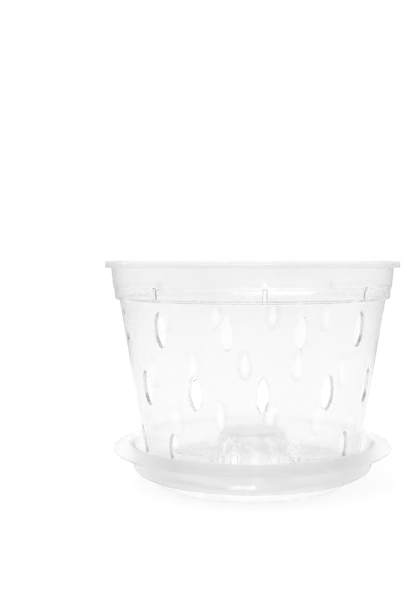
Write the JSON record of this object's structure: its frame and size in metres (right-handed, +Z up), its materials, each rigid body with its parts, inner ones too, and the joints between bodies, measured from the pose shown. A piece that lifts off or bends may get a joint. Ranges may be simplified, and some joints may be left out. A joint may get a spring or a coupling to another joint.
{
  "type": "orchid pot",
  "caption": "Clear tapered orchid pot with staggered drop-shaped air slots, a stepped collar and a raised slotted hub, standing in a shallow saucer with a turned-down lip.",
  "frame": {"origin": "middle of the saucer's flat underside", "axes": "+Z up along the axis of the pot and saucer; one slot of the middle row faces -Y"},
  "size_m": [0.14, 0.14, 0.1045],
  "materials": {
    "clear_plastic": "clear, smooth moulded",
    "frosted_plastic": "clear, lightly frosted"
  },
  "bodies": {
    "saucer": {"saucer": "frosted_plastic"},
    "pot": {"pot": "clear_plastic"}
  },
  "joints": [
    {"name": "pot_lift", "type": "slide", "parent": "saucer", "child": "pot", "axis": [0, 0, 1], "range_m": [0, 0.12]}
  ]
}
